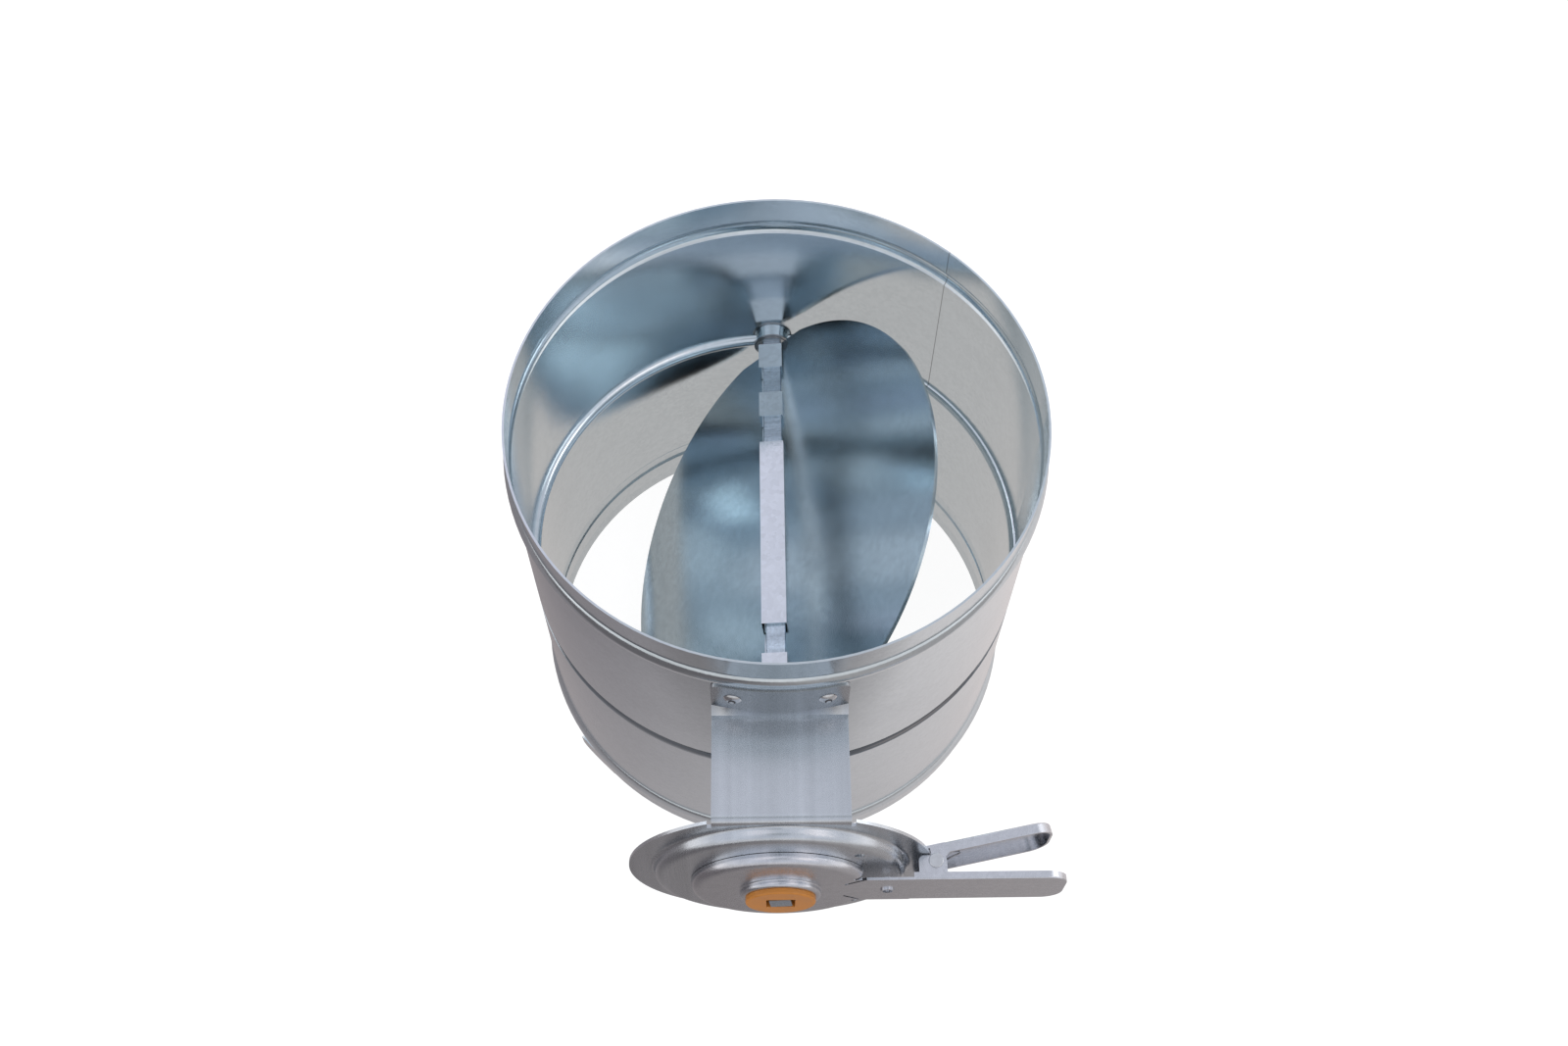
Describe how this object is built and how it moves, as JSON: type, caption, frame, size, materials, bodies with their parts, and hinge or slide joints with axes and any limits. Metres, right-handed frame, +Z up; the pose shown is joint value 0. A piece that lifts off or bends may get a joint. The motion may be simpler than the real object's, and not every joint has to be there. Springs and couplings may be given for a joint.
{
  "type": "volume control damper",
  "caption": "Round galvanised duct damper: a disc blade woven onto a square shaft, turned by a lever that clamps on a stepped dial.",
  "frame": {"origin": "centre of the casing's lower edge, on the duct axis", "axes": "+Z up along the duct, -Y towards the dial and handle, the blade shaft along Y, +X towards the tip of the front lever at rest"},
  "size_m": [0.2064, 0.2557, 0.187],
  "materials": {
    "galvanised_sheet": "hot-dip galvanised rolled sheet, fine spangle, satin gloss",
    "galvanised_blade": "hot-dip galvanised sheet, satin",
    "galvanised_stamping": "zinc-plated pressed sheet, satin with fine rolling lines",
    "zinc_bar": "cold-drawn square bar, zinc plated",
    "turned_steel": "turned steel, zinc plated",
    "spring_steel": "bright spring steel",
    "rivet_steel": "bright rivet steel",
    "washer_steel": "zinc-plated washer",
    "orange_plastic": "moulded orange polyamide, satin",
    "spacer_plastic": "moulded black polyamide"
  },
  "bodies": {
    "duct_sleeve": {"casing": "galvanised_sheet", "dial_bracket": "galvanised_stamping", "bracket_rivets": "rivet_steel"},
    "blade_and_handle": {"square_shaft": "zinc_bar", "blade": "galvanised_blade", "front_bush": "turned_steel", "front_bush_clip": "spring_steel", "rear_bush": "turned_steel", "rear_bush_clip": "spring_steel", "hub_lever": "galvanised_stamping", "hub_bush": "orange_plastic", "hub_spacer": "spacer_plastic", "hub_washer": "washer_steel", "hub_clip": "spring_steel", "pivot_pin": "rivet_steel", "pin_washer": "washer_steel", "torsion_spring": "spring_steel"},
    "clamp": {"clamp_lever": "galvanised_stamping"}
  },
  "joints": [
    {"name": "shaft_turn", "type": "hinge", "parent": "duct_sleeve", "child": "blade_and_handle", "pos_m": [0, 0, 0.0935], "axis": [0, -1, 0], "range_deg": [-51, 39]},
    {"name": "lever_squeeze", "type": "hinge", "parent": "blade_and_handle", "child": "clamp", "pos_m": [0.0568, -0.1421, 0.0935], "axis": [0, 0, -1], "range_deg": [0, 14], "stiffness_Nm_per_rad": 0.25, "springref_deg": -34.38, "deforming": ["torsion_spring"]}
  ]
}
